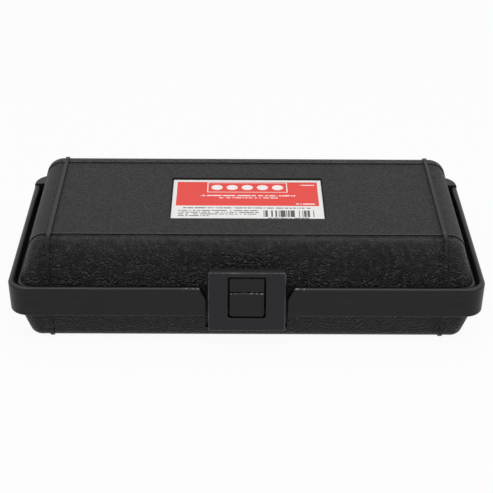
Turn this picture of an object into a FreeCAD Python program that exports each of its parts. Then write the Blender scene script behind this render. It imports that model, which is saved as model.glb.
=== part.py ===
import FreeCAD, Part
import math
import os
from FreeCAD import Vector

# Bit set case, double walled and blow moulded: a base with a raised rim band, a lid that sits
# inside the band, two pinned hinges at the back and one snap latch in front. Millimetres.
# X runs along the width, the latch faces -Y, +Z is up, and the foot ribs stand on Z = 0.

# Overall sizes
band_width = 230.4            # over the rim band, at its top edge
case_depth = 125.6            # latch face to the back edge of the hinge flange
latch_face_y = -case_depth / 2
flange_back_y = case_depth / 2

piece_overlap = 0.5           # fused forms of one piece reach into each other

# Heights
foot_height = 0.7             # foot ribs under the base
band_bottom_z = 18.0
band_top_z = 33.5
parting_z = 31.8              # middle of the gap between base and lid
parting_gap = 0.3
panel_z = 52.4                # top panel of the lid
panel_step = 0.4              # height of the steps that bound the panel

# Outer forms
wall_draft = 16.0             # degrees, lid walls and lower base walls
band_front_set = 0.8          # band behind the latch face
band_corner = 10.0
band_taper = 0.6              # band narrows by this towards its bottom
band_wall = 3.0
band_low_round = 0.8
rim_outer_round = 1.4         # top of the band, outside
rim_inner_round = 1.2         # top of the band, along the moat
base_inset = 4.8              # lower base wall behind the band
base_corner = 6.0
base_round = 6.0
lid_inset = 5.5               # lid wall behind the band, at the parting line
lid_back_inset = 9.0          # lid wall in front of the flange edge, at the parting line
lid_corner = 8.0
lid_top_corner = 8.8
lid_round = 8.0
moat_depth = 6.5              # groove between band and inner wall
panel_front_set = 21.4        # front edge of the panel behind the latch face
panel_back_set = 23.5         # back edge of the panel in front of the flange edge

# Stiffening ribs, alike on lid and base
rib_spacing = 191.0
rib_width = 1.8
rib_height = 1.2              # above the panel
rib_spread = 0.2              # how far a rib stands out from a sloping wall

# Label
label_width = 76.2
label_depth = 44.6
label_thickness = 0.2
label_recess = 1.1
label_margin = 0.8            # pocket beyond the label
label_corner = 1.0
label_x = 0.4                 # label and pocket, right of the middle
label_shift = 0.6             # and in front of the middle of the panel

# Hinges
hinge_end_set = 53.2          # middle of a hinge from the end of the band
knuckle_radius = 4.1
knuckle_length = 9.0
knuckle_gap = 0.4
knuckle_count = 5             # base, lid, base, lid, base
hinge_pin_radius = 1.5
hinge_overhang = 0.9          # flange edge behind the knuckles
hinge_air = 0.4               # knuckles to flange
back_wall_air = 0.8           # knuckles to the back wall of the base
flange_thickness = 3.5
flange_rise = 0.7             # flange above the rim of the band
flange_round = 1.0
flange_gap = 0.3
flange_depth = 11.4
flange_corner = 10.0
pin_running = 0.08            # radial clearance of a pin in the piece that turns
pin_grip = 0.02               # radial clearance of a pin in the piece that holds it

# Latch
latch_width = 37.2
latch_height = 32.0
latch_bottom_z = 10.8
latch_wall = 2.2
latch_depth = 4.9             # face to the back of its hook
latch_side = 1.6
latch_corner = 0.8
latch_edge_round = 0.5
latch_back_round = 0.3
window_width = 18.2
window_height = 22.6
window_sill = 6.9             # bottom bar under the window
window_top_corner = 0.5
window_low_corner = 1.2
boss_gap = 0.8                # around the two bosses in the window
boss_parting = 0.35           # each boss ends this far from the parting line
boss_top_corner = 0.5
boss_low_corner = 1.6
boss_edge_round = 0.3
boss_set = 0.4                # bosses behind the latch face
boss_root = 4.0               # upper boss reaches this far into the lid wall
pivot_set = 5.2               # pivot behind the latch face
pivot_rise = 4.2              # pivot above the bottom of the latch
pivot_barrel = 2.4
pivot_pin_radius = 1.25
lug_width = 16.0
ear_gap = 0.4
ear_width = 3.0
recess_gap = 1.3              # beside the latch
recess_depth = 10.3           # behind the latch face
recess_drop = 3.1             # under the latch
flare_width = 3.0             # band ends fall back beside the latch
flare_height = 6.0

# Inner tray and lid bay
tray_wall_side = 6.1
tray_wall_front = 7.9
tray_wall_back = 5.9
tray_corner = 8.0
tray_round = 1.5
deck_z = 26.0
lip_height = 2.0
lip_width = 1.6
lip_gap = 0.4
lip_round = 0.5
lid_skin = 3.6
bay_round = 4.0
pad_width = 14.0              # hold-down pads in the lid, one over each column
pad_gap = 1.2                 # pads above the pieces
pad_inset = 6.0               # pad ends inside the bay walls
pad_draft = 2.0               # a pad is wider by this at its root, each side
pad_corner = 2.0
pad_round = 1.0

# Contents: driver bits in two columns, adapters in a third
bit_length = 50.0
bit_flats = 6.35
shank_length = 27.0           # hexagonal end of a power bit
shank_chamfer = 1.0
groove_place = 9.5            # ball groove from the end of the shank
groove_width = 2.6
groove_radius = 2.5
neck_radius = 2.3
tip_length = 6.0
bit_column_set = 34.3         # first column of bits from the end of the tray
bit_rows = 8
bit_pitch = 9.8
nest_depth = 5.0
nest_gap = 0.3
adapter_column_set = 44.3     # adapters from the other end of the tray
adapter_pitch = 26.0
adapter_nest_depth = 8.0
finger_width = 18.0
finger_floor_z = 14.0
finger_reach = 10.0           # finger channel beyond the first and last piece
finger_round = 2.5
small_square = 6.35           # square drives of the two socket adapters
large_square = 9.53
drive_length = 9.5
collar_cone = 5.0             # slope between shank and collar
edge_break = 0.6              # chamfers on the adapters
sleeve_groove = 22.6          # ring groove from the open end of the bit holder
sleeve_groove_width = 1.4
socket_depth = 12.0
socket_gap = 0.1

# Places worked out from the sizes above
band_half = band_width / 2
hinge_x = band_half - hinge_end_set
band_front_y = latch_face_y + band_front_set
draft_slope = math.tan(math.radians(wall_draft))
panel_front_y = latch_face_y + panel_front_set
panel_back_y = flange_back_y - panel_back_set
label_y = (panel_front_y + panel_back_y) / 2 - label_shift
flange_front_y = flange_back_y - flange_depth
hinge_y = flange_back_y - hinge_overhang - knuckle_radius
flange_top_z = band_top_z + flange_rise
flange_bottom_z = flange_top_z - flange_thickness
hinge_z = flange_bottom_z - hinge_air - knuckle_radius
base_back_y = hinge_y - knuckle_radius - back_wall_air
base_top_z = parting_z - parting_gap / 2
lid_bottom_z = parting_z + parting_gap / 2
pivot_y = latch_face_y + pivot_set
pivot_z = latch_bottom_z + pivot_rise
tray_half = band_half - base_inset - tray_wall_side
tray_front_y = band_front_y + base_inset + tray_wall_front
tray_back_y = base_back_y - tray_wall_back
tray_middle_y = (tray_front_y + tray_back_y) / 2
first_bit_x = bit_column_set - tray_half
adapter_x = tray_half - adapter_column_set
bit_columns = (first_bit_x, (first_bit_x + adapter_x) / 2)


def block(x0, x1, y0, y1, z0, z1):
    return Part.makeBox(x1 - x0, y1 - y0, z1 - z0, Vector(x0, y0, z0))


def rod_x(radius, x0, x1, y, z):
    return Part.makeCylinder(radius, x1 - x0, Vector(x0, y, z), Vector(1, 0, 0))


def outline(half, front, back, radius, z):
    """Rounded rectangle in a level plane, as a closed wire of lines and arcs."""
    corners = ((half - radius, back - radius), (radius - half, back - radius),
               (radius - half, front + radius), (half - radius, front + radius))
    edges = []
    last = None
    first = None
    for i, (cx, cy) in enumerate(corners):
        points = []
        for step in (0, 1, 2):
            a = math.pi / 4 * (2 * i + step)
            points.append(Vector(cx + radius * math.cos(a), cy + radius * math.sin(a), z))
        if last is not None:
            edges.append(Part.makeLine(last, points[0]))
        edges.append(Part.Arc(*points).toShape())
        first = first or points[0]
        last = points[2]
    edges.append(Part.makeLine(last, first))
    return Part.Wire(edges)


def side_wall(low, high):
    """Wall between two level edges: flat, a piece of a cone, or a slanting round corner."""
    start, end = [v.Point for v in low.Vertexes]
    top_start, top_end = [v.Point for v in high.Vertexes]
    if isinstance(low.Curve, Part.Line):
        return Part.Face(Part.makePolygon([start, end, top_end, top_start, start]))
    shift = high.Curve.Center - low.Curve.Center
    if math.hypot(shift.x, shift.y) < 0.0001:
        return Part.makeLine(start, top_start).revolve(low.Curve.Center, Vector(0, 0, 1), 90)
    return Part.makeRuledSurface(low, high)


def tapered(lower, upper):
    """Solid between two level outlines, each given as half width, front, back, radius, height."""
    ends = [outline(*lower), outline(*upper)]
    walls = [side_wall(low, high) for low, high in zip(ends[0].Edges, ends[1].Edges)]
    shell = Part.makeShell([Part.Face(end) for end in ends] + walls)
    shell.sewShape()
    solid = Part.makeSolid(shell)
    if solid.Volume < 0:
        solid.reverse()
    return solid.removeSplitter()


def level_edges(solid, z):
    return [e for e in solid.Edges if all(abs(v.Z - z) < 0.001 for v in e.Vertexes)]


def round_level(solid, z, radius):
    return solid.makeFillet(radius, level_edges(solid, z))


def edges_at_y(solid, y):
    return [e for e in solid.Edges if all(abs(v.Y - y) < 0.001 for v in e.Vertexes)]


def round_along_y(solid, radius, chosen):
    """Rounds the chosen edges that run along Y."""
    edges = []
    for e in solid.Edges:
        ends = [v.Point for v in e.Vertexes]
        if len(ends) == 2 and abs((ends[1] - ends[0]).normalize().y) > 0.999 and chosen(ends[0]):
            edges.append(e)
    return solid.makeFillet(radius, edges)


def mirrored(shape):
    return shape.mirror(Vector(0, 0, 0), Vector(1, 0, 0))


# Base

def base_body(drop, spread):
    """Lower body under the band. It can reach lower, and stand out further at its bottom."""
    bottom_z = foot_height - drop
    fall = (band_bottom_z - foot_height) * draft_slope
    top = (band_half - base_inset, band_front_y + base_inset, base_back_y - band_taper,
           base_corner, band_bottom_z)
    inset = base_inset + fall - spread
    bottom = (band_half - inset, band_front_y + inset, base_back_y - band_taper - fall + spread,
              base_corner, bottom_z)
    return round_level(tapered(bottom, top), bottom_z, base_round)


def band_body():
    """Rim band. Its sides run straight back under the hinge flange."""
    back = base_back_y + band_corner
    top = (band_half, band_front_y, back, band_corner, band_top_z)
    bottom = (band_half - band_taper, band_front_y + band_taper, back, band_corner - band_taper,
              band_bottom_z)
    solid = tapered(bottom, top)
    solid = round_level(solid, band_top_z, rim_outer_round)
    solid = round_level(solid, band_bottom_z, band_low_round)
    return solid.common(block(-band_half, band_half, band_front_y, base_back_y, 0, panel_z))


def moat():
    """Space above the inner wall, and the groove between that wall and the band."""
    top = band_top_z + 1
    inner = (band_half - band_wall, band_front_y + band_wall, base_back_y + band_corner,
             band_corner - band_wall)
    above = tapered(inner + (base_top_z,), inner + (top,))
    wall = (band_half - base_inset, band_front_y + base_inset, base_back_y + band_corner,
            base_corner)
    floor_z = band_top_z - moat_depth
    groove = tapered(inner + (floor_z,), inner + (top,))
    groove = groove.cut(tapered(wall + (floor_z - 1,), wall + (top + 1,)))
    groove = groove.cut(block(-band_half, band_half, flange_front_y - flange_gap,
                              flange_back_y, floor_z - 1, top + 1))
    return above.fuse(groove)


def round_rim(solid):
    """Rounds the top edge of the band along the moat."""
    reach = band_half - band_wall + 0.001
    front = band_front_y + band_wall - 0.001
    edges = [e for e in level_edges(solid, band_top_z)
             if all(abs(v.X) < reach and v.Y > front for v in e.Vertexes)]
    return solid.makeFillet(rim_inner_round, edges)


def latch_recess():
    """Room for the latch in the band and in the wall behind it."""
    half = latch_width / 2 + recess_gap
    back = latch_face_y + recess_depth
    front = latch_face_y - 1
    low = latch_bottom_z - recess_drop
    high = band_top_z + 1
    room = block(-half, half, front, back, low, high)
    flare_z = band_top_z - flare_height
    reach = half + flare_width * (high - flare_z) / flare_height
    points = [Vector(-half, front, flare_z), Vector(half, front, flare_z),
              Vector(reach, front, high), Vector(-reach, front, high)]
    face = Part.Face(Part.makePolygon(points + points[:1]))
    flare = face.extrude(Vector(0, band_front_y + base_inset - front, 0))
    return room.fuse(flare)


def boss(z0, z1, back, corner_z, corner):
    """Block that the latch window frames, with two round corners at corner_z."""
    half = window_width / 2 - boss_gap
    front = latch_face_y + boss_set
    solid = block(-half, half, front, back, z0, z1)
    solid = round_along_y(solid, corner, lambda p: abs(p.z - corner_z) < 0.001)
    return solid.makeFillet(boss_edge_round, edges_at_y(solid, front))


def lower_boss():
    bottom = latch_bottom_z + window_sill + boss_gap
    return boss(bottom, parting_z - boss_parting, latch_face_y + recess_depth, bottom,
                boss_low_corner)


def pivot_lug():
    half = lug_width / 2
    back = latch_face_y + recess_depth
    lug = rod_x(pivot_barrel, -half, half, pivot_y, pivot_z)
    return lug.fuse(block(-half, half, pivot_y, back, pivot_z - pivot_barrel,
                          pivot_z + pivot_barrel))


def knuckle_spans(lid_side):
    """Start and end along X of each knuckle of one hinge, for the base or for the lid."""
    step = knuckle_length + knuckle_gap
    start = hinge_x - (knuckle_count * step - knuckle_gap) / 2
    spans = []
    for i in range(knuckle_count):
        if (i % 2 == 1) == lid_side:
            spans.append((start + i * step, start + i * step + knuckle_length))
    return spans


def base_knuckles():
    solids = []
    for x0, x1 in knuckle_spans(False):
        solids.append(rod_x(knuckle_radius, x0, x1, hinge_y, hinge_z))
        solids.append(block(x0, x1, base_back_y - 1, hinge_y, hinge_z - knuckle_radius,
                            hinge_z + knuckle_radius))
    return solids + [mirrored(s) for s in solids]


def lid_knuckles():
    solids = []
    for x0, x1 in knuckle_spans(True):
        solids.append(rod_x(knuckle_radius, x0, x1, hinge_y, hinge_z))
        solids.append(block(x0, x1, hinge_y - knuckle_radius, hinge_y + knuckle_radius, hinge_z,
                            flange_bottom_z + piece_overlap))
    return solids + [mirrored(s) for s in solids]


def hinge_bores(radius):
    reach = hinge_x + knuckle_count * (knuckle_length + knuckle_gap)
    return [rod_x(radius, 1, reach, hinge_y, hinge_z), rod_x(radius, -reach, -1, hinge_y, hinge_z)]


def tray_space():
    """Inside of the base above the deck."""
    inside = (tray_half, tray_front_y, tray_back_y, tray_corner)
    solid = tapered(inside + (deck_z,), inside + (band_top_z + lip_height,))
    return round_level(solid, deck_z, tray_round)


def tray_lip():
    """Tongue round the tray that keeps the closed lid in line."""
    top = base_top_z + lip_height
    inside = (tray_half, tray_front_y, tray_back_y, tray_corner)
    outside = (tray_half + lip_width, tray_front_y - lip_width, tray_back_y + lip_width,
               tray_corner + lip_width)
    ring = tapered(outside + (base_top_z - 1,), outside + (top,))
    ring = round_level(ring, top, lip_round)
    return ring.cut(tapered(inside + (base_top_z - 2,), inside + (top + 1,)))


# Driver bits and adapters, all lying along X

def bit_places():
    """Middle of each bit, column by column from the front."""
    places = []
    for x in bit_columns:
        for row in range(bit_rows):
            places.append((x, tray_middle_y + (row - (bit_rows - 1) / 2) * bit_pitch))
    return places


def adapter_places():
    return [(adapter_x, tray_middle_y + (i - 1) * adapter_pitch) for i in range(3)]


bit_floor_z = deck_z - nest_depth
adapter_floor_z = deck_z - adapter_nest_depth


def nests():
    cuts = []
    across = bit_flats / math.cos(math.radians(30))
    half_y = across / 2 + nest_gap
    half_x = bit_length / 2 + nest_gap
    top = deck_z + 1
    for x, y in bit_places():
        cuts.append(block(x - half_x, x + half_x, y - half_y, y + half_y, bit_floor_z, top))
    for (x, y), (name, length, radius) in zip(adapter_places(), adapters):
        half_x = length / 2 + nest_gap
        half_y = radius + nest_gap
        cuts.append(block(x - half_x, x + half_x, y - half_y, y + half_y, adapter_floor_z, top))
    return cuts


def finger_channels():
    """Channels across the pieces, so that fingers can lift them."""
    cuts = []
    last_bit = (bit_rows - 1) / 2 * bit_pitch + bit_flats / 2
    last_adapter = adapter_pitch + adapters[0][2]
    reaches = [(x, last_bit) for x in bit_columns] + [(adapter_x, last_adapter)]
    for x, last in reaches:
        reach = min(last + finger_reach, (tray_back_y - tray_front_y) / 2 - 0.5)
        solid = block(x - finger_width / 2, x + finger_width / 2, tray_middle_y - reach,
                      tray_middle_y + reach, finger_floor_z, deck_z + 3)
        cuts.append(round_level(solid, finger_floor_z, finger_round))
    return cuts


def hex_rod(flats, x0, x1, y, z):
    """Six sided rod along X with a flat downwards."""
    radius = flats / 2 / math.cos(math.radians(30))
    points = []
    for i in range(7):
        a = math.radians(60 * i)
        points.append(Vector(x0, y + radius * math.cos(a), z + radius * math.sin(a)))
    return Part.Face(Part.makePolygon(points)).extrude(Vector(x1 - x0, 0, 0))


def turned(profile, x, y, z):
    """Turned piece along X from (distance, radius) pairs."""
    points = [Vector(x + profile[0][0], y, z)]
    points += [Vector(x + d, y + r, z) for d, r in profile]
    points += [Vector(x + profile[-1][0], y, z), points[0]]
    face = Part.Face(Part.makePolygon(points))
    return face.revolve(Vector(x, y, z), Vector(1, 0, 0), 360)


def power_shank(x, y, z):
    """Hexagonal drive end with its chamfer and ball groove."""
    corner = bit_flats / 2 / math.cos(math.radians(30))
    shank = hex_rod(bit_flats, x, x + shank_length, y, z)
    wide = corner + 0.1
    groove_start = groove_place - groove_width / 2
    groove_end = groove_place + groove_width / 2
    trim = turned([(0, wide - shank_chamfer), (shank_chamfer, wide), (groove_start, wide),
                   (groove_start, groove_radius), (groove_end, groove_radius),
                   (groove_end, wide), (shank_length, wide)], x, y, z)
    return shank.common(trim)


def plate_cross(size, x, y, z, length):
    half = size * 0.17
    one = block(x, x + length, y - size, y + size, z - half, z + half)
    two = block(x, x + length, y - half, y + half, z - size, z + size)
    return one.fuse(two)


def cross_tip(size, x, y, z):
    cone = turned([(0, size / 2), (tip_length - size * 0.45, size / 2),
                   (tip_length, size * 0.14)], x, y, z)
    return cone.common(plate_cross(size, x, y, z, tip_length)).fuse(
        turned([(0, size / 2), (tip_length * 0.3, size * 0.26)], x, y, z))


def flat_tip(size, x, y, z):
    blade = turned([(0, neck_radius), (0.8, size / 2), (tip_length, size / 2)], x, y, z)
    points = [Vector(x, y - size, z - neck_radius), Vector(x + tip_length, y - size, z - 0.5),
              Vector(x + tip_length, y - size, z + 0.5), Vector(x, y - size, z + neck_radius)]
    wedge = Part.Face(Part.makePolygon(points + points[:1])).extrude(Vector(0, 2 * size, 0))
    return blade.common(wedge)


def square_tip(size, x, y, z):
    half = size / 2
    return block(x - 0.5, x + tip_length, y - half, y + half, z - half, z + half)


def hexagon_tip(size, x, y, z):
    return hex_rod(size, x - 0.5, x + tip_length, y, z)


def star_tip(size, x, y, z):
    solid = rod_x(size / 2, x - 0.5, x + tip_length, y, z)
    flute = size * 0.14
    for i in range(6):
        a = math.radians(60 * i)
        solid = solid.cut(rod_x(flute, x - 1, x + tip_length + 1, y + size * 0.52 * math.cos(a),
                                z + size * 0.52 * math.sin(a)))
    return solid


# Name, tip and size across the tip of each bit
bit_kinds = (("cross_bit_1", cross_tip, 4.5), ("cross_bit_2", cross_tip, 6.0),
             ("cross_bit_3", cross_tip, 6.0), ("cross_bit_4", cross_tip, 6.2),
             ("flat_bit_1", flat_tip, 4.5), ("flat_bit_2", flat_tip, 5.5),
             ("flat_bit_3", flat_tip, 6.5), ("square_bit_1", square_tip, 2.3),
             ("square_bit_2", square_tip, 2.8), ("square_bit_3", square_tip, 3.3),
             ("star_bit_1", star_tip, 3.3), ("star_bit_2", star_tip, 3.9),
             ("star_bit_3", star_tip, 4.4), ("star_bit_4", star_tip, 4.6),
             ("hexagon_bit_1", hexagon_tip, 3.0), ("hexagon_bit_2", hexagon_tip, 4.0))

# Name, length and largest radius of each adapter
adapters = (("bit_holder", 60.0, 5.6), ("small_socket_adapter", 50.0, 5.0),
            ("large_socket_adapter", 50.0, 5.6))


def driver_bit(tip, size, x, y):
    z = bit_floor_z + bit_flats / 2
    start = x - bit_length / 2
    tip_start = start + bit_length - tip_length
    neck = rod_x(neck_radius, start + shank_length - piece_overlap, tip_start, y, z)
    return power_shank(start, y, z).fuse([neck, tip(size, tip_start, y, z)]).removeSplitter()


def bit_holder(x, y, length, radius):
    """Sleeve that holds a bit by its hexagon, on a power shank."""
    z = adapter_floor_z + radius + nest_gap
    start = x - length / 2
    small = radius - edge_break
    groove_end = sleeve_groove + sleeve_groove_width
    sleeve_end = length - shank_length + piece_overlap
    sleeve = turned([(0, small), (edge_break, radius), (sleeve_groove - edge_break, radius),
                     (sleeve_groove, small), (groove_end, small),
                     (groove_end + edge_break, radius), (sleeve_end - 2 * edge_break, radius),
                     (sleeve_end, small)], start, y, z)
    socket = hex_rod(bit_flats + 2 * socket_gap, start - 1, start + socket_depth, y, z)
    shank = power_shank(start, y, z)
    shank.rotate(Vector(x, y, z), Vector(0, 0, 1), 180)
    return sleeve.cut(socket).fuse(shank)


def socket_adapter(x, y, length, radius, square):
    """Power shank with a square drive."""
    z = adapter_floor_z + radius + nest_gap
    start = x - length / 2
    small = radius - edge_break
    cone_end = shank_length + collar_cone / 2
    drive_start = length - drive_length
    collar = turned([(shank_length - collar_cone / 2, neck_radius), (cone_end, small),
                     (cone_end + edge_break, radius), (drive_start - edge_break, radius),
                     (drive_start, small)], start, y, z)
    half = square / 2
    end = start + length
    drive = block(start + drive_start - piece_overlap, end, y - half, y + half, z - half, z + half)
    drive = drive.makeChamfer(edge_break, [e for e in drive.Edges
                                           if all(abs(v.X - end) < 0.001 for v in e.Vertexes)])
    return power_shank(start, y, z).fuse([collar, drive])


def base_shell():
    solid = band_body().fuse(base_body(0.0, 0.0))
    grown = base_body(foot_height, rib_spread)
    for side in (-1, 1):
        x = side * rib_spacing / 2
        slab = block(x - rib_width / 2, x + rib_width / 2, band_front_y, base_back_y, 0,
                     band_bottom_z)
        solid = solid.fuse(grown.common(slab))
    solid = round_rim(solid.cut(moat()))
    back_shelf = block(-band_half - 1, band_half + 1, flange_front_y - flange_gap,
                       flange_back_y, flange_bottom_z - flange_gap, band_top_z + 5)
    solid = solid.cut(back_shelf)
    solid = solid.cut(latch_recess())
    solid = solid.fuse([lower_boss(), pivot_lug()] + base_knuckles())
    solid = solid.cut(tray_space())
    solid = solid.fuse(tray_lip())
    solid = solid.cut(nests() + finger_channels())
    lug_bore = rod_x(pivot_pin_radius + pin_grip, -lug_width, lug_width, pivot_y, pivot_z)
    return solid.cut([lug_bore] + hinge_bores(hinge_pin_radius + pin_grip))


# Lid

def lid_form(rise, spread):
    """Outer form of the lid, its top raised and its upper edge pushed outwards."""
    top_z = panel_z - panel_step + rise
    inset = lid_inset + (panel_z - lid_bottom_z) * draft_slope - spread
    back_y = flange_back_y - lid_back_inset
    bottom = (band_half - lid_inset, band_front_y + lid_inset, back_y, lid_corner, lid_bottom_z)
    top = (band_half - inset, band_front_y + inset, back_y + lid_inset - inset, lid_top_corner,
           top_z)
    return round_level(tapered(bottom, top), top_z, lid_round)


def lid_zones():
    """Front slope, panel and back slope: y range and growth of each."""
    far = case_depth
    return ((-far, panel_front_y, 0.0), (panel_front_y, panel_back_y, panel_step),
            (panel_back_y, far, 2 * panel_step))


def lid_outside():
    solids = []
    for y0, y1, growth in lid_zones():
        slab = block(-band_half, band_half, y0, y1, 0, 2 * panel_z)
        solids.append(lid_form(growth, growth).common(slab))
        raised = lid_form(panel_step + rib_height, growth + rib_spread)
        for side in (-1, 1):
            x = side * rib_spacing / 2
            strip = block(x - rib_width / 2, x + rib_width / 2, y0, y1, 0, 2 * panel_z)
            solids.append(raised.common(strip))
    return solids[0].fuse(solids[1:])


def hinge_flange():
    shape = (band_half, flange_front_y - 2 * flange_corner, flange_back_y, flange_corner)
    solid = tapered(shape + (flange_bottom_z,), shape + (flange_top_z,))
    solid = round_level(solid, flange_top_z, flange_round)
    return solid.common(block(-band_half, band_half, flange_front_y, flange_back_y, 0, panel_z))


def lid_bay():
    """Inside of the lid, clear of the lip of the tray up to the lip's top."""
    clear = lip_width + lip_gap + (base_top_z + lip_height - lid_bottom_z) * draft_slope
    rise = panel_z - lid_skin - lid_bottom_z
    draw = rise * draft_slope
    below = 1.0
    bottom = (tray_half + clear, tray_front_y - clear, tray_back_y + clear, tray_corner + clear,
              lid_bottom_z)
    top = (bottom[0] - draw, bottom[1] + draw, bottom[2] - draw, bottom[3] - draw,
           lid_bottom_z + rise)
    room = round_level(tapered(bottom, top), top[4], bay_round)
    return room.fuse(tapered(bottom[:4] + (lid_bottom_z - below,), bottom))


def hold_down_pad(x, piece_top_z):
    """Raised bar of the inner skin that keeps a column of pieces in its nests."""
    foot_z = piece_top_z + pad_gap
    root_z = panel_z - lid_skin + 1
    front = tray_front_y + pad_inset
    back = tray_back_y - pad_inset
    foot = (pad_width / 2, front, back, pad_corner, foot_z)
    root = (pad_width / 2 + pad_draft, front - pad_draft, back + pad_draft,
            pad_corner + pad_draft, root_z)
    pad = round_level(tapered(foot, root), foot_z, pad_round)
    pad.translate(Vector(x, 0, 0))
    return pad


def hold_down_pads():
    bit_top_z = bit_floor_z + bit_flats
    adapter_top_z = adapter_floor_z + nest_gap + 2 * max(a[2] for a in adapters)
    pads = [hold_down_pad(x, bit_top_z) for x in bit_columns]
    return pads + [hold_down_pad(adapter_x, adapter_top_z)]


def label_pocket():
    half = label_width / 2 + label_margin
    front = label_y - label_depth / 2 - label_margin
    back = label_y + label_depth / 2 + label_margin
    shape = (half, front, back, label_corner)
    pocket = tapered(shape + (panel_z - label_recess,), shape + (panel_z + 1,))
    pocket.translate(Vector(label_x, 0, 0))
    return pocket


def upper_boss():
    top = latch_bottom_z + window_sill + window_height - boss_gap
    back = band_front_y + lid_inset + boss_root
    return boss(parting_z + boss_parting, top, back, top, boss_top_corner)


def lid_shell():
    solid = lid_outside().fuse(hinge_flange())
    solid = solid.fuse([upper_boss()] + lid_knuckles())
    solid = solid.cut(lid_bay())
    solid = solid.fuse(hold_down_pads())
    solid = solid.cut(label_pocket())
    return solid.cut(hinge_bores(hinge_pin_radius + pin_running))


# Latch

def latch():
    half = latch_width / 2
    top = latch_bottom_z + latch_height
    back = latch_face_y + latch_depth
    solid = block(-half, half, latch_face_y, back, latch_bottom_z, top)
    solid = round_along_y(solid, latch_corner, lambda p: True)
    window_low = latch_bottom_z + window_sill
    window_top = window_low + window_height
    hollow = block(latch_side - half, half - latch_side, latch_face_y + latch_wall, back + 1,
                   latch_bottom_z - 1, window_top)
    window = block(-window_width / 2, window_width / 2, latch_face_y - 1, back + 1,
                   window_low, window_top)
    window = round_along_y(window, window_low_corner, lambda p: abs(p.z - window_low) < 0.001)
    window = round_along_y(window, window_top_corner, lambda p: abs(p.z - window_top) < 0.001)
    solid = solid.cut([hollow, window])
    solid = solid.makeFillet(latch_edge_round, edges_at_y(solid, latch_face_y))
    back_edges = [e for e in level_edges(solid, top)
                  if all(abs(v.Y - back) < 0.001 for v in e.Vertexes)]
    solid = solid.makeFillet(latch_back_round, back_edges)
    for side in (-1, 1):
        inner = side * (lug_width / 2 + ear_gap)
        outer = side * (lug_width / 2 + ear_gap + ear_width)
        x0 = min(inner, outer)
        x1 = max(inner, outer)
        ear = rod_x(pivot_barrel, x0, x1, pivot_y, pivot_z)
        web = block(x0, x1, latch_face_y + latch_wall / 2, pivot_y, pivot_z - pivot_barrel,
                    pivot_z + pivot_barrel)
        solid = solid.fuse([ear, web])
    return solid.cut(rod_x(pivot_pin_radius + pin_running, -half, half, pivot_y, pivot_z))


def label():
    half = label_width / 2
    floor = panel_z - label_recess
    return block(label_x - half, label_x + half, label_y - label_depth / 2,
                 label_y + label_depth / 2, floor, floor + label_thickness)


def hinge_pin(side):
    span = knuckle_spans(False)
    ends = sorted((side * span[0][0], side * span[-1][1]))
    return rod_x(hinge_pin_radius, ends[0], ends[1], hinge_y, hinge_z)


def latch_pin():
    half = lug_width / 2 + ear_gap + ear_width
    return rod_x(pivot_pin_radius, -half, half, pivot_y, pivot_z)


def write_parts(nodes):
    os.makedirs("parts", exist_ok=True)
    for name, shape in nodes.items():
        solids = shape.Solids
        print(name, len(solids), "solid", "valid" if shape.isValid() else "NOT VALID",
              round(shape.Volume / 1000, 2), "cm3")
        shape.exportStep("parts/" + name + ".step")


nodes = {"base_shell": base_shell(), "lid_shell": lid_shell(), "latch": latch(),
         "label": label(), "latch_pin": latch_pin(), "hinge_pin_left": hinge_pin(-1),
         "hinge_pin_right": hinge_pin(1)}
for (name, tip, size), (x, y) in zip(bit_kinds, bit_places()):
    nodes[name] = driver_bit(tip, size, x, y)
holder_place, small_place, large_place = adapter_places()
nodes["bit_holder"] = bit_holder(*holder_place, *adapters[0][1:])
nodes["small_socket_adapter"] = socket_adapter(*small_place, *adapters[1][1:], small_square)
nodes["large_socket_adapter"] = socket_adapter(*large_place, *adapters[2][1:], large_square)
write_parts(nodes)
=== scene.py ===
# %% [markdown]
# # A bit set case in black polyethylene
# The case is blow moulded: base and lid are double-walled shells with a leather grain on their
# sloping sides and a fine matt grain on the top panel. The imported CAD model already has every
# shape, so this script keeps its nodes and gives each one the finish that the real piece has.
# It starts with the fixed frame, in which everything is in metres.

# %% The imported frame
import bmesh
import bpy
import math
from mathutils import Matrix, Vector


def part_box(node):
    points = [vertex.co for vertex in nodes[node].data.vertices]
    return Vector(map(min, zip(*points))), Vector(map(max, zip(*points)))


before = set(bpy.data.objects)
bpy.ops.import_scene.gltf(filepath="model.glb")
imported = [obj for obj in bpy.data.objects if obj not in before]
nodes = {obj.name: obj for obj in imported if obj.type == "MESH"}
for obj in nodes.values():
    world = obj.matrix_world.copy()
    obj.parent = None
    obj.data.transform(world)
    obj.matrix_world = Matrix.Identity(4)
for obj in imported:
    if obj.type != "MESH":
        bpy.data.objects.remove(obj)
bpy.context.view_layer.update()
MM = 0.001

# %% [markdown]
# The photograph was taken from in front and 28 degrees above, with a long lens, so that the
# upright lines stay almost parallel. The camera comes first, because everything that follows is
# judged through it. Its place and lens were solved from the corners of the rim band and of the
# label.

# %% Camera
CAMERA_TARGET = Vector((-0.05, -22.0, 35.2)) * MM
CAMERA_DISTANCE = 717.5 * MM
CAMERA_ELEVATION = math.radians(28.3)
CAMERA_AZIMUTH = math.radians(-0.45)
CAMERA_ROLL = math.radians(0.45)
SENSOR_WIDTH = 36.0
PHOTO_WIDTH = 493
FOCAL_IN_PIXELS = 1433


def camera_place():
    """Where the camera stands on its arc round the target, and how it is turned."""
    forward = Vector((-math.sin(CAMERA_AZIMUTH) * math.cos(CAMERA_ELEVATION),
                      math.cos(CAMERA_AZIMUTH) * math.cos(CAMERA_ELEVATION),
                      -math.sin(CAMERA_ELEVATION)))
    turn = forward.to_track_quat("-Z", "Y").to_matrix().to_4x4()
    roll = Matrix.Rotation(CAMERA_ROLL, 4, "Z")
    return Matrix.Translation(CAMERA_TARGET - forward * CAMERA_DISTANCE) @ turn @ roll


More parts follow.
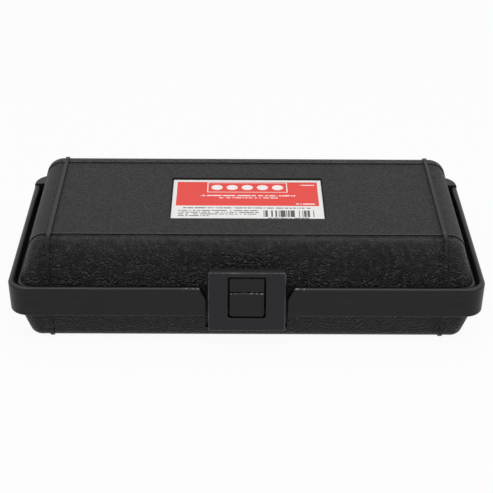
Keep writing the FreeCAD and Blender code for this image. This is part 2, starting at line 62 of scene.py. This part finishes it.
camera_data = bpy.data.cameras.new("camera")
camera_data.sensor_width = SENSOR_WIDTH
camera_data.lens = FOCAL_IN_PIXELS * SENSOR_WIDTH / PHOTO_WIDTH
camera_data.clip_start = 10 * MM
camera = bpy.data.objects.new("camera", camera_data)
bpy.context.scene.collection.objects.link(camera)
camera.matrix_world = camera_place()
bpy.context.scene.camera = camera
print("lens:", round(camera_data.lens, 1), "mm, at", round(CAMERA_DISTANCE, 3), "m")

# %% [markdown]
# Every colour below is written as the hex value that it has on a screen, and one function turns
# it into the linear values that Blender mixes. Materials are built from nodes. A second small
# function adds any node, with its settings and with what goes into it.

# %% Colours and nodes


def hex_colour(text):
    """Linear colour from a value such as 2B2B2A."""
    channels = [int(text[i:i + 2], 16) / 255 for i in (0, 2, 4)]
    linear = [c / 12.92 if c <= 0.04045 else ((c + 0.055) / 1.055) ** 2.4 for c in channels]
    return (*linear, 1.0)


def add(tree, kind, inputs=None, **settings):
    """Adds a node. Each input is a value, or a node or an output that is linked to it."""
    node = tree.nodes.new("ShaderNode" + kind)
    for name, value in settings.items():
        setattr(node, name, value)
    for name, value in (inputs or {}).items():
        if isinstance(value, bpy.types.Node):
            value = value.outputs[0]
        if isinstance(value, bpy.types.NodeSocket):
            tree.links.new(value, node.inputs[name])
        else:
            node.inputs[name].default_value = value
    return node


def new_material(name):
    material = bpy.data.materials.new(name)
    material.use_nodes = True
    material.node_tree.nodes.clear()
    return material, material.node_tree


print("a mid grey, 808080, is", round(hex_colour("808080")[0], 3), "in linear light")

# %% [markdown]
# The case stands on a plain pale surface in soft light. Surface and room look white to the
# camera and in reflections, as the photographer's white sweep does, but they light the case no
# more than a grey room would. A share of the floor stays ordinary paint, so that it keeps the
# shadow under the case.

# %% Floor and light
FLOOR_REACH = 3.0
FLOOR_DROP = 0.02 * MM
SHADOW_SHARE = 0.06
ROOM_LEVEL = 0.38


def seen_directly(tree):
    """One for rays from the camera, from a reflection or through glass, otherwise zero."""
    path = add(tree, "LightPath")
    seen = add(tree, "Math", {0: path.outputs["Is Camera Ray"],
                              1: path.outputs["Is Glossy Ray"]}, operation="MAXIMUM")
    return add(tree, "Math", {0: seen, 1: path.outputs["Is Transmission Ray"]},
               operation="MAXIMUM")


def studio_paint():
    material, tree = new_material("white_studio_sweep")
    paint = add(tree, "BsdfDiffuse", {"Color": hex_colour("D4D4D4")})
    white = add(tree, "Emission", {"Strength": 1.0})
    share = add(tree, "Math", {0: seen_directly(tree), 1: 1 - SHADOW_SHARE},
                operation="MULTIPLY")
    mixed = add(tree, "MixShader", {0: share, 1: paint, 2: white})
    add(tree, "OutputMaterial", {"Surface": mixed})
    return material


def make_floor():
    shape = bmesh.new()
    bmesh.ops.create_grid(shape, x_segments=1, y_segments=1, size=FLOOR_REACH)
    bmesh.ops.translate(shape, verts=shape.verts, vec=(0, 0, -FLOOR_DROP))
    mesh = bpy.data.meshes.new("floor")
    shape.to_mesh(mesh)
    shape.free()
    mesh.materials.append(studio_paint())
    floor = bpy.data.objects.new("floor", mesh)
    bpy.context.scene.collection.objects.link(floor)


def light_room():
    world = bpy.data.worlds.new("grey_room")
    world.use_nodes = True
    tree = world.node_tree
    tree.nodes.clear()
    level = add(tree, "MapRange", {"Value": seen_directly(tree), "To Min": ROOM_LEVEL,
                                   "To Max": 1.0})
    background = add(tree, "Background", {"Color": (1, 1, 1, 1), "Strength": level})
    add(tree, "OutputWorld", {"Surface": background})
    bpy.context.scene.world = world


def hang_softbox(name, place, size, watts):
    """A lamp of that width and height in metres that looks at the case."""
    lamp_data = bpy.data.lights.new(name, "AREA")
    lamp_data.shape = "RECTANGLE"
    lamp_data.size, lamp_data.size_y = size
    lamp_data.energy = watts
    lamp = bpy.data.objects.new(name, lamp_data)
    bpy.context.scene.collection.objects.link(lamp)
    towards = (CAMERA_TARGET - Vector(place)).to_track_quat("-Z", "Y")
    lamp.matrix_world = Matrix.Translation(place) @ towards.to_matrix().to_4x4()


make_floor()
light_room()
hang_softbox("overhead_softbox", (0.0, 0.0, 1.3), (1.2, 1.2), 5.4)
hang_softbox("strip_light", (0.0, -0.55, 1.05), (1.4, 0.1), 3.8)
hang_softbox("left_softbox", (-1.1, -0.7, 0.9), (0.3, 0.3), 2.2)
hang_softbox("right_softbox", (1.1, -0.7, 0.9), (0.3, 0.3), 4.2)
bpy.context.scene.view_settings.view_transform = "Standard"

# %% [markdown]
# ## Black polyethylene: where each finish is
# Base and lid are black high-density polyethylene. The mould gives them three surfaces. The
# sloping sides have a leather grain: narrow folds that wander and close into pebbles. The top
# panel and the floor of the tray have a fine matt grain, like blasted metal. The rim band, the
# hinge flange, the ribs on the panel and the rest are smooth and a little waxy. Three edges get
# a painted highlight, a paler colour where light catches them: the front edge of the panel, the
# outer round of the rim, and the top of the lower boss. Next to the latch, on the boss and the
# ends of the rim, that painted highlight is stronger, in patches.
# One way to place them would be to cut the shells into faces with different materials. The
# grains begin and end at steps of the form, though, so it is simpler to ask each point where it
# lies and which way its skin faces, both in the piece's own frame, and to mix by that.

# %% Zones of the two shells
PANEL_FRONT = -41.4 * MM
PANEL_BACK = 39.3 * MM
PANEL_EDGE = 1.0 * MM
RIB_PLACE = 95.5 * MM
RIB_HALF_WIDTH = 1.0 * MM
FLANGE_TOP = 34.3 * MM
FLANGE_FRONT = 45.0 * MM
BAND_BOTTOM = 17.9 * MM
BACK_WALL = 51.8 * MM
RIM_TOP = 32.9 * MM
RIM_SLOPE = 0.87
RIM_ROUND = 0.11
DECK_TOP = 26.2 * MM
BOSS_TOP = 31.2 * MM
BOSS_EDGE = 0.3 * MM
BOSS_FACE = -61.0 * MM
BOSS_HALF_WIDTH = 8.4 * MM
FACING_LIMIT = 0.08
GRAIN_ON_RIBS = 0.8
HIGHLIGHT_SHARE = 0.1
BASE_HIGHLIGHT_PATCH = 1.0 * MM
BASE_HIGHLIGHT_REACH = 31 * MM


def lid_zones(tree, coords):
    """Where the lid has leather grain and matt grain, and where its panel edge gets a painted
    highlight.
    """
    place = add(tree, "SeparateXYZ", {0: coords.outputs["Object"]}).outputs
    facing = add(tree, "SeparateXYZ", {0: coords.outputs["Normal"]}).outputs
    outward = add(tree, "Math", {0: facing["Z"], 1: FACING_LIMIT}, operation="GREATER_THAN")
    raised = add(tree, "Math", {0: place["Z"], 1: FLANGE_TOP}, operation="GREATER_THAN")
    ahead = add(tree, "Math", {0: place["Y"], 1: FLANGE_FRONT}, operation="LESS_THAN")
    raised = add(tree, "Math", {0: raised, 1: ahead}, operation="MAXIMUM")
    skin = add(tree, "Math", {0: outward, 1: raised}, operation="MULTIPLY")
    middle = (PANEL_FRONT + PANEL_BACK) / 2
    panel = add(tree, "Math", {0: place["Y"], 1: middle, 2: PANEL_BACK - middle},
                operation="COMPARE")
    panel = add(tree, "Math", {0: skin, 1: panel}, operation="MULTIPLY")
    leather = add(tree, "Math", {0: skin, 1: panel}, operation="SUBTRACT")
    side = add(tree, "Math", {0: place["X"]}, operation="ABSOLUTE")
    rib = add(tree, "Math", {0: side, 1: RIB_PLACE, 2: RIB_HALF_WIDTH}, operation="COMPARE")
    fading = add(tree, "MapRange", {"Value": rib, "To Min": 1.0, "To Max": GRAIN_ON_RIBS})
    leather = add(tree, "Math", {0: leather, 1: fading}, operation="MULTIPLY")
    matt = add(tree, "Math", {0: panel, 1: rib}, operation="SUBTRACT", use_clamp=True)
    # The front edge of the panel gets a painted highlight: a paler colour where light catches it.
    edge = add(tree, "Math", {0: place["Y"], 1: PANEL_FRONT, 2: PANEL_EDGE},
               operation="COMPARE")
    edge = add(tree, "Math", {0: edge, 1: panel}, operation="MULTIPLY")
    painted_highlight = add(tree, "Math", {0: edge, 1: HIGHLIGHT_SHARE}, operation="MULTIPLY")
    return leather, matt, painted_highlight


def base_zones(tree, coords):
    """Where the base has leather grain and matt grain, and where its edges get a painted
    highlight.
    """
    place = add(tree, "SeparateXYZ", {0: coords.outputs["Object"]}).outputs
    facing = add(tree, "SeparateXYZ", {0: coords.outputs["Normal"]}).outputs
    downward = add(tree, "Math", {0: facing["Z"], 1: -FACING_LIMIT}, operation="LESS_THAN")
    low = add(tree, "Math", {0: place["Z"], 1: BAND_BOTTOM}, operation="LESS_THAN")
    ahead = add(tree, "Math", {0: place["Y"], 1: BACK_WALL}, operation="LESS_THAN")
    leather = add(tree, "Math", {0: downward, 1: low}, operation="MULTIPLY")
    leather = add(tree, "Math", {0: leather, 1: ahead}, operation="MULTIPLY")
    upward = add(tree, "Math", {0: facing["Z"], 1: FACING_LIMIT}, operation="GREATER_THAN")
    sunk = add(tree, "Math", {0: place["Z"], 1: DECK_TOP}, operation="LESS_THAN")
    matt = add(tree, "Math", {0: upward, 1: sunk}, operation="MULTIPLY")
    # The outer round of the rim and the top of the lower boss get a painted highlight.
    at_top = add(tree, "Math", {0: place["Z"], 1: RIM_TOP}, operation="GREATER_THAN")
    round_part = add(tree, "Math", {0: facing["Z"], 1: RIM_SLOPE, 2: RIM_ROUND},
                     operation="COMPARE")
    edge = add(tree, "Math", {0: round_part, 1: at_top}, operation="MULTIPLY")
    to_front = add(tree, "Math", {0: place["Y"], 1: facing["Y"]}, operation="MULTIPLY")
    to_side = add(tree, "Math", {0: place["X"], 1: facing["X"]}, operation="MULTIPLY")
    outside = add(tree, "Math", {0: to_front, 1: to_side}, operation="ADD")
    outside = add(tree, "Math", {0: outside, 1: 0.0}, operation="GREATER_THAN")
    edge = add(tree, "Math", {0: edge, 1: outside}, operation="MULTIPLY")
    boss = add(tree, "Math", {0: place["Z"], 1: BOSS_TOP, 2: BOSS_EDGE}, operation="COMPARE")
    at_face = add(tree, "Math", {0: place["Y"], 1: BOSS_FACE}, operation="LESS_THAN")
    boss = add(tree, "Math", {0: boss, 1: at_face}, operation="MULTIPLY")
    side = add(tree, "Math", {0: place["X"]}, operation="ABSOLUTE")
    on_boss = add(tree, "Math", {0: side, 1: BOSS_HALF_WIDTH}, operation="LESS_THAN")
    boss = add(tree, "Math", {0: boss, 1: on_boss}, operation="MULTIPLY")
    edge = add(tree, "Math", {0: edge, 1: boss}, operation="MAXIMUM")
    # Next to the latch that painted highlight is stronger, in noisy patches.
    chance = add(tree, "TexNoise", {"Vector": coords.outputs["Object"], "Scale": 1 / BASE_HIGHLIGHT_PATCH})
    patchy_highlight = add(tree, "MapRange", {"Value": chance, "From Min": 0.52, "From Max": 0.62,
                                     "To Min": HIGHLIGHT_SHARE})
    near_latch = add(tree, "Math", {0: side, 1: BASE_HIGHLIGHT_REACH}, operation="LESS_THAN")
    amount = add(tree, "MapRange", {"Value": near_latch, "To Min": HIGHLIGHT_SHARE,
                                    "To Max": patchy_highlight})
    painted_highlight = add(tree, "Math", {0: edge, 1: amount}, operation="MULTIPLY")
    return leather, matt, painted_highlight


print("the lid's grain changes at", round(PANEL_FRONT / MM, 1), "and",
      round(PANEL_BACK / MM, 1), "mm")

# %% [markdown]
# ## The two grains
# A leather grain could be painted or sculpted, but two patterns together give it with the right
# scale. Folds wander like the lines on a fingertip: they are the contour lines of a slow noise,
# which the sine of that noise raises. Cells break the folds up into pebbles, because the
# distance to a cell's edge is small in a crease. The mould cuts all this only a few tenths of a
# millimetre deep, so it is made as bump and the shell keeps its shape. The matt grain of the
# real panel is finer than a pixel of the photograph. It is drawn as coarse as it needs to show.

# %% Leather and matt grain
SWIRL = 9.0 * MM
FOLDS = 115.0
PEBBLE = 2.3 * MM
FLOW_PUSH = 5.0 * MM
WRINKLE = 0.9 * MM
LEATHER_DEPTH = 0.4 * MM
CREASE = 0.18
WRINKLE_SHARE = 0.75
FOLD_SHARE = 0.6
GRIT = 1.3 * MM
GRIT_DEPTH = 0.16 * MM


def leather_height(tree, here):
    """Height of the leather grain: folds that cells break up into pebbles."""
    swirl = add(tree, "TexNoise", {"Vector": here, "Scale": 1 / SWIRL, "Detail": 1.0})
    fold = add(tree, "Math", {0: swirl, 1: FOLDS}, operation="MULTIPLY")
    fold = add(tree, "Math", {0: fold}, operation="SINE")
    centred = add(tree, "VectorMath", {0: swirl.outputs["Color"], 1: (0.5, 0.5, 0.5)},
                  operation="SUBTRACT")
    pushed = add(tree, "VectorMath", {0: centred, 1: (FLOW_PUSH,) * 3, 2: here},
                 operation="MULTIPLY_ADD")
    cells = add(tree, "TexVoronoi", {"Vector": pushed, "Scale": 1 / PEBBLE},
                feature="DISTANCE_TO_EDGE")
    pebble = add(tree, "MapRange", {"Value": cells, "From Max": CREASE},
                 interpolation_type="SMOOTHSTEP")
    wrinkle = add(tree, "TexNoise", {"Vector": here, "Scale": 1 / WRINKLE, "Detail": 3.0,
                                     "Roughness": 0.6})
    broken = add(tree, "Math", {0: wrinkle, 1: WRINKLE_SHARE, 2: pebble}, operation="MULTIPLY_ADD")
    return add(tree, "Math", {0: fold, 1: FOLD_SHARE, 2: broken}, operation="MULTIPLY_ADD")


print("pebbles of", round(PEBBLE / MM, 1), "mm,", round(LEATHER_DEPTH / MM, 2), "mm deep")

# %% [markdown]
# High-density polyethylene is a dull, waxy plastic. Its reflections are weak and wide, and
# carbon black makes it almost black all through. The matt grain scatters more light upwards, so
# the panel looks a shade paler than the smooth parts. The black also varies a little from place
# to place, where the plastic cooled against the mould sooner or later, and in faint level
# streaks. The grain under the band is painted darker than the lid's, as painted shade from the
# band above it.

# %% The shells
BLACK_DEEP = hex_colour("131312")
BLACK_PALE = hex_colour("191918")
MATT_DEEP = hex_colour("040404")
MATT_PALE = hex_colour("2A2A29")
HIGHLIGHT_COLOUR = hex_colour("8C8C8E")
COOLING_PATCH = 40 * MM
SMOOTH_ROUGHNESS = 0.4
LEATHER_ROUGHNESS = 0.4
MATT_ROUGHNESS = 0.6
SHINE = 0.18
LID_LEATHER = hex_colour("FFFFFF")
BASE_PAINTED_SHADE = hex_colour("606060")
STREAK = (30 * MM, 30 * MM, 0.8 * MM)
STREAK_PALE = hex_colour("1D1D1C")


def polyethylene(name, zones, painted_leather_shade):
    """Black polyethylene, with its finishes where zones says."""
    material, tree = new_material(name)
    coords = add(tree, "TexCoord")
    here = coords.outputs["Object"]
    leather, matt, painted_highlight = zones(tree, coords)
    grit = add(tree, "TexNoise", {"Vector": here, "Scale": 1 / GRIT, "Detail": 2.0,
                                  "Roughness": 0.7})
    speckle = add(tree, "MapRange", {"Value": grit, "From Min": 0.35, "From Max": 0.65})
    patches = add(tree, "TexNoise", {"Vector": here, "Scale": 1 / COOLING_PATCH})
    black = add(tree, "MixRGB", {0: patches, 1: BLACK_DEEP, 2: BLACK_PALE})
    drawn = add(tree, "Mapping", {"Vector": here, "Scale": tuple(1 / v for v in STREAK)})
    streaks = add(tree, "TexNoise", {"Vector": drawn, "Scale": 1.0, "Detail": 1.0})
    streaks = add(tree, "MapRange", {"Value": streaks, "From Min": 0.4, "From Max": 0.7})
    black = add(tree, "MixRGB", {0: streaks, 1: black, 2: STREAK_PALE})
    blasted = add(tree, "MixRGB", {0: speckle, 1: MATT_DEEP, 2: MATT_PALE})
    colour = add(tree, "MixRGB", {0: matt, 1: black, 2: blasted})
    # Painted shade: the leather grain is multiplied by a grey, which darkens it on the base under
    # the band.
    colour = add(tree, "MixRGB", {0: leather, 1: colour, 2: painted_leather_shade},
                 blend_type="MULTIPLY")
    # Painted highlight: the edges that zones marks are mixed towards a pale grey.
    colour = add(tree, "MixRGB", {0: painted_highlight, 1: colour, 2: HIGHLIGHT_COLOUR})
    rough = add(tree, "MapRange", {"Value": leather, "To Min": SMOOTH_ROUGHNESS,
                                   "To Max": LEATHER_ROUGHNESS})
    rough = add(tree, "MapRange", {"Value": matt, "To Min": rough, "To Max": MATT_ROUGHNESS})
    folds = add(tree, "Math", {0: leather_height(tree, here), 1: leather},
                operation="MULTIPLY")
    grains = add(tree, "Math", {0: grit, 1: matt}, operation="MULTIPLY")
    normal = add(tree, "Bump", {"Distance": LEATHER_DEPTH, "Height": folds})
    normal = add(tree, "Bump", {"Distance": GRIT_DEPTH, "Height": grains, "Normal": normal})
    skin = add(tree, "BsdfPrincipled", {"Base Color": colour, "Roughness": rough, "IOR": 1.54,
                                        "Specular IOR Level": SHINE, "Normal": normal})
    add(tree, "OutputMaterial", {"Surface": skin})
    return material


def dress(names, material):
    """Gives these CAD nodes one material."""
    for name in names:
        for slot in nodes[name].material_slots:
            slot.material = material


dress(["lid_shell"], polyethylene("blow_moulded_polyethylene_lid", lid_zones,
                                 LID_LEATHER))
dress(["base_shell"], polyethylene("blow_moulded_polyethylene_base", base_zones,
                                  BASE_PAINTED_SHADE))
print("shells dressed")

# %% [markdown]
# ## Latch
# The latch is injection moulded in polypropylene, which bends again and again without cracking.
# A steel mould leaves it smoother than the shells, with a faint blue cast and soft flow marks.
# Round the outline of its face it has a paler painted highlight, in patches.

# %% Latch
FLOW_MARK = 1.2 * MM
LATCH_HIGHLIGHT_WIDTH = 0.5 * MM
LATCH_HIGHLIGHT_PATCH = 5.0 * MM
LATCH_LOW, LATCH_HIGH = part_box("latch")


def highlight_outline(tree, here):
    """One close to the outline of the latch's face, in patches: where the painted highlight goes.
    """
    middle = (LATCH_LOW + LATCH_HIGH) / 2
    half = (LATCH_HIGH - LATCH_LOW) / 2
    place = add(tree, "VectorMath", {0: here, 1: middle}, operation="SUBTRACT")
    x, y, z = add(tree, "SeparateXYZ", {0: place}).outputs
    across = add(tree, "Math", {0: x, 1: 0.0, 2: half.x - LATCH_HIGHLIGHT_WIDTH}, operation="COMPARE")
    along = add(tree, "Math", {0: z, 1: 0.0, 2: half.z - LATCH_HIGHLIGHT_WIDTH}, operation="COMPARE")
    inner = add(tree, "Math", {0: across, 1: along}, operation="MULTIPLY")
    ahead = add(tree, "Math", {0: y, 1: LATCH_HIGHLIGHT_WIDTH - half.y}, operation="LESS_THAN")
    outline = add(tree, "Math", {0: ahead, 1: inner}, operation="SUBTRACT", use_clamp=True)
    patchiness = add(tree, "TexNoise", {"Vector": here, "Scale": 1 / LATCH_HIGHLIGHT_PATCH})
    patchiness = add(tree, "MapRange", {"Value": patchiness, "From Min": 0.3, "From Max": 0.7})
    return add(tree, "Math", {0: outline, 1: patchiness}, operation="MULTIPLY")


def polypropylene():
    material, tree = new_material("injection_moulded_polypropylene")
    coords = add(tree, "TexCoord").outputs["Object"]
    patches = add(tree, "TexNoise", {"Vector": coords, "Scale": 1 / (12 * MM)})
    colour = add(tree, "MixRGB", {0: patches, 1: hex_colour("121316"), 2: hex_colour("18191D")})
    # Painted highlight round the outline of the latch's face.
    colour = add(tree, "MixRGB", {0: highlight_outline(tree, coords), 1: colour,
                                  2: hex_colour("4A4B4E")})
    marks = add(tree, "TexNoise", {"Vector": coords, "Scale": 1 / FLOW_MARK})
    normal = add(tree, "Bump", {"Strength": 0.4, "Distance": 0.02 * MM, "Height": marks})
    skin = add(tree, "BsdfPrincipled", {"Base Color": colour, "Roughness": 0.27, "IOR": 1.49,
                                        "Specular IOR Level": 0.28, "Normal": normal})
    add(tree, "OutputMaterial", {"Surface": skin})
    return material


dress(["latch"], polypropylene())
print("latch dressed")

# %% [markdown]
# ## Printed label
# The label is white film with a red field, laminated and stuck into a shallow pocket. Its print
# is generic here: an outlined box with plain discs, short rules where small print would be, and
# a block of bars that encodes nothing. The print is drawn as rectangles, in millimetres from
# the middle of the label. A random value for each small cell breaks the rules up, so that they
# look like lines of small print without being letters.

# %% What is printed where: left, right, bottom, top in millimetres
RED_FIELD = (-36.1, 36.1, -7.4, 19.9)
BOX = (-20.6, 20.6, 7.9, 19.3)
BOX_LINE = 0.5
PALE_RULES = ((-24.5, 24.5, 3.5, 4.7), (-15.5, 15.5, 1.1, 2.0), (24.5, 35.2, -5.7, -4.6),
              (27.0, 34.6, 16.0, 17.0))
DARK_RULES = ((-32.3, 32.2, -10.3, -9.3), (-34.6, 5.0, -13.2, -12.4), (-34.6, 5.6, -15.1, -14.3),
              (-34.6, 4.4, -17.0, -16.2), (-34.6, -18.0, -18.9, -18.1), (10.0, 31.0, -21.2, -20.4))
BARS = (7.2, 33.5, -19.6, -12.4)
DISC_PITCH = 7.8
DISC_RADIUS = 2.9
DISC_COUNT = 5
LETTER_WIDTH = 0.62
LINE_HEIGHT = 1.9
BAR_WIDTH = 0.42
BAR_SHARE = 0.52
LETTER_SHARE = 0.72
LABEL_LOW, LABEL_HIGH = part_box("label")
LABEL_MIDDLE = (LABEL_LOW + LABEL_HIGH) / 2


def rectangle(tree, x, y, sides):
    """One inside the rectangle."""
    left, right, bottom, top = sides
    across = add(tree, "Math", {0: x, 1: (left + right) / 2, 2: (right - left) / 2},
                 operation="COMPARE")
    along = add(tree, "Math", {0: y, 1: (bottom + top) / 2, 2: (top - bottom) / 2},
                operation="COMPARE")
    return add(tree, "Math", {0: across, 1: along}, operation="MULTIPLY")


def any_of(tree, masks):
    total = masks[0]
    for mask in masks[1:]:
        total = add(tree, "Math", {0: total, 1: mask}, operation="MAXIMUM")
    return total


def random_cells(tree, x, width, y, height, share):
    """One in a random share of the cells of that size."""
    column = add(tree, "Math", {0: x, 1: width}, operation="SNAP")
    line = add(tree, "Math", {0: y, 1: height}, operation="SNAP")
    spot = add(tree, "CombineXYZ", {"X": column, "Y": line})
    chance = add(tree, "TexWhiteNoise", {"Vector": spot}, noise_dimensions="2D")
    return add(tree, "Math", {0: chance, 1: share}, operation="LESS_THAN")


def outlined_box(tree, x, y):
    """The line round the box and the row of discs in it."""
    left, right, bottom, top = BOX
    inside = (left + BOX_LINE, right - BOX_LINE, bottom + BOX_LINE, top - BOX_LINE)
    line = add(tree, "Math", {0: rectangle(tree, x, y, BOX), 1: rectangle(tree, x, y, inside)},
               operation="SUBTRACT")
    flat = add(tree, "CombineXYZ", {"X": x, "Y": y})
    masks = [line]
    for i in range(DISC_COUNT):
        middle = ((i - (DISC_COUNT - 1) / 2) * DISC_PITCH, (bottom + top) / 2, 0)
        reach = add(tree, "VectorMath", {0: flat, 1: middle}, operation="DISTANCE")
        masks.append(add(tree, "Math", {0: reach.outputs["Value"], 1: DISC_RADIUS},
                         operation="LESS_THAN"))
    return any_of(tree, masks)


def printed_colours(tree, x, y, film):
    """Film, red field, pale print and black print, one over the other."""
    letters = random_cells(tree, x, LETTER_WIDTH, y, LINE_HEIGHT, LETTER_SHARE)
    pale = any_of(tree, [rectangle(tree, x, y, rule) for rule in PALE_RULES])
    pale = add(tree, "Math", {0: pale, 1: letters}, operation="MULTIPLY")
    pale = any_of(tree, [pale, outlined_box(tree, x, y)])
    dark = any_of(tree, [rectangle(tree, x, y, rule) for rule in DARK_RULES])
    dark = add(tree, "Math", {0: dark, 1: letters}, operation="MULTIPLY")
    bars = add(tree, "Math", {0: rectangle(tree, x, y, BARS),
                              1: random_cells(tree, x, BAR_WIDTH, 0.0, 1.0, BAR_SHARE)},
               operation="MULTIPLY")
    dark = any_of(tree, [dark, bars])
    ink = add(tree, "MixRGB", {0: rectangle(tree, x, y, RED_FIELD), 1: film,
                               2: hex_colour("E1372E")})
    ink = add(tree, "MixRGB", {0: pale, 1: ink, 2: hex_colour("F2E9E7")})
    return add(tree, "MixRGB", {0: dark, 1: ink, 2: hex_colour("474747")})


def laminated_film():
    material, tree = new_material("laminated_printed_film")
    coords = add(tree, "TexCoord").outputs["Object"]
    centred = add(tree, "VectorMath", {0: coords, 1: LABEL_MIDDLE}, operation="SUBTRACT")
    in_mm = add(tree, "VectorMath", {0: centred, "Scale": 1 / MM}, operation="SCALE")
    x, y, _ = add(tree, "SeparateXYZ", {0: in_mm}).outputs
    fibres = add(tree, "TexNoise", {"Vector": in_mm, "Scale": 0.6, "Detail": 3.0})
    film = add(tree, "MixRGB", {0: fibres, 1: hex_colour("E3E3E1"), 2: hex_colour("ECECEA")})
    ripples = add(tree, "TexNoise", {"Vector": in_mm, "Scale": 0.08})
    normal = add(tree, "Bump", {"Strength": 0.3, "Distance": 0.1 * MM, "Height": ripples})
    sheet = add(tree, "BsdfPrincipled", {"Base Color": printed_colours(tree, x, y, film),
                                         "Roughness": 0.38, "IOR": 1.5,
                                         "Specular IOR Level": 0.3, "Normal": normal})
    add(tree, "OutputMaterial", {"Surface": sheet})
    return material


dress(["label"], laminated_film())
print("label:", [round(v / MM, 1) for v in LABEL_HIGH - LABEL_LOW], "mm")

# %% [markdown]
# ## Steel
# The driver bits are tool steel, hardened and then blasted with fine grit, which leaves an even
# grey that scatters light. The adapters are turned and nickel plated, so they are brighter and
# keep faint rings from the lathe. The hinge and latch pins are drawn wire with a zinc coat and
# have faint lines along them. One function makes all three: a grain that is stretched the way
# the tool went, and stains that change the tone and the roughness a little.

# %% Steel finishes
STAIN = 9 * MM


def metal(name, tones, roughness, grain_size, grain_depth, stretch):
    """Bare or plated metal. A small stretch along an axis makes the grain long that way."""
    material, tree = new_material(name)
    coords = add(tree, "TexCoord").outputs["Object"]
    shaped = add(tree, "Mapping", {"Vector": coords, "Scale": stretch})
    grain = add(tree, "TexNoise", {"Vector": shaped, "Scale": 1 / grain_size, "Detail": 3.0})
    stain = add(tree, "TexNoise", {"Vector": coords, "Scale": 1 / STAIN})
    share = add(tree, "Mix", {"Factor": 0.5, "A": grain, "B": stain})
    tone = add(tree, "MixRGB", {0: share, 1: hex_colour(tones[0]), 2: hex_colour(tones[1])})
    uneven = add(tree, "MapRange", {"Value": stain, "To Min": roughness - 0.08,
                                    "To Max": roughness + 0.08})
    normal = add(tree, "Bump", {"Strength": 0.6, "Distance": grain_depth, "Height": grain})
    surface = add(tree, "BsdfPrincipled", {"Base Color": tone, "Metallic": 1.0,
                                           "Roughness": uneven, "Normal": normal})
    add(tree, "OutputMaterial", {"Surface": surface})
    return material


blasted = metal("blasted_tool_steel", ("6E7073", "9A9CA0"), 0.42, 0.25 * MM, 0.02 * MM,
                (1, 1, 1))
plated = metal("nickel_plated_turned_steel", ("A9AAAC", "CFD0D1"), 0.24, 0.3 * MM, 0.008 * MM,
               (3, 0.3, 0.3))
zinc = metal("zinc_plated_wire", ("B4B7BA", "D6D8DA"), 0.3, 0.4 * MM, 0.01 * MM, (0.2, 1, 1))
driver_bits = [name for name in nodes if "_bit_" in name]
dress(driver_bits, blasted)
dress(["bit_holder", "small_socket_adapter", "large_socket_adapter"], plated)
dress(["hinge_pin_left", "hinge_pin_right", "latch_pin"], zinc)
print("driver bits:", len(driver_bits))
